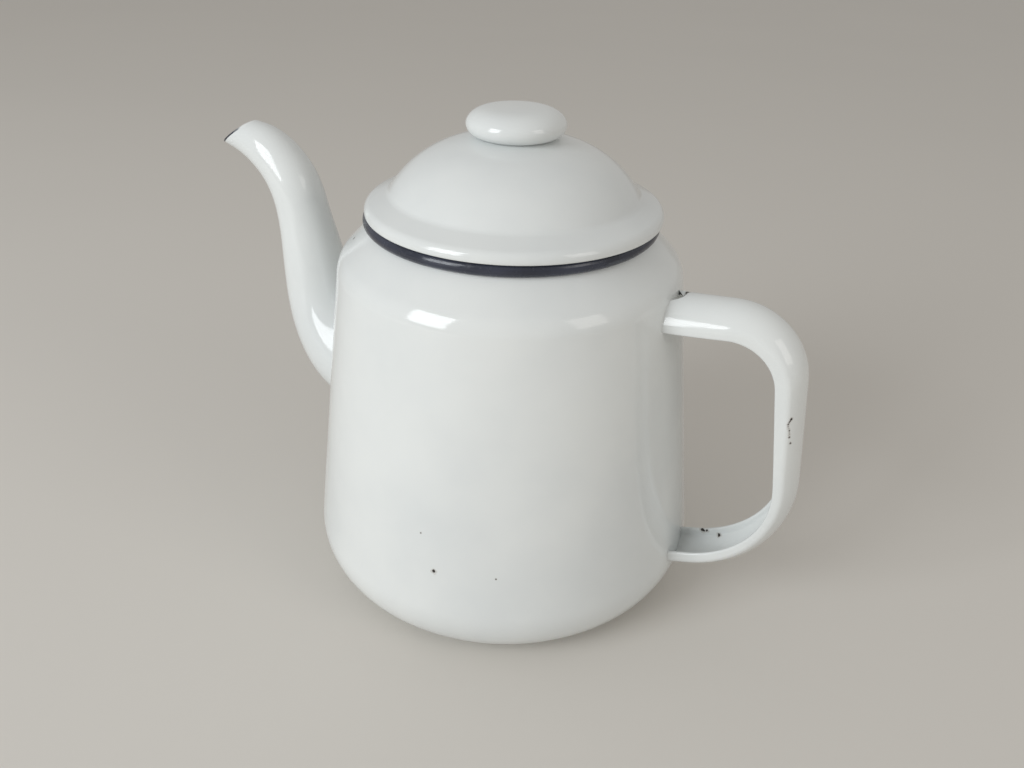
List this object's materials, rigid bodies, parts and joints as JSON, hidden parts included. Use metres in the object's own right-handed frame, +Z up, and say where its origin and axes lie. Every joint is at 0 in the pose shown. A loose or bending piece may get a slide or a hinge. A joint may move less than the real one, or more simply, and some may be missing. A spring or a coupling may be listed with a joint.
{
  "type": "enamel teapot with gooseneck spout",
  "caption": "White enamelled steel teapot with a tapering body, gooseneck spout, channel strap handle, dark rolled rim and a lift-off domed lid with a flat knob.",
  "frame": {"origin": "middle of the flat standing ring under the pot, on the table", "axes": "+Z up along the pot's axis, +X towards the handle, -X towards the spout; Y = 0 is the plane that handle and spout share"},
  "size_m": [0.2442, 0.15, 0.1839],
  "materials": {
    "white_enamel": "gloss",
    "blue_black_enamel": "gloss"
  },
  "bodies": {
    "pot": {"body_shell": "white_enamel", "base_pan": "white_enamel", "mouth_rim": "blue_black_enamel", "spout_left_half": "white_enamel", "spout_right_half": "white_enamel", "handle_strap": "white_enamel"},
    "lid": {"lid_dome": "white_enamel", "lid_collar": "white_enamel", "lid_knob": "white_enamel"}
  },
  "joints": [
    {"name": "lid_lift", "type": "slide", "parent": "pot", "child": "lid", "axis": [0, 0, 1], "range_m": [0, 0.09]}
  ]
}
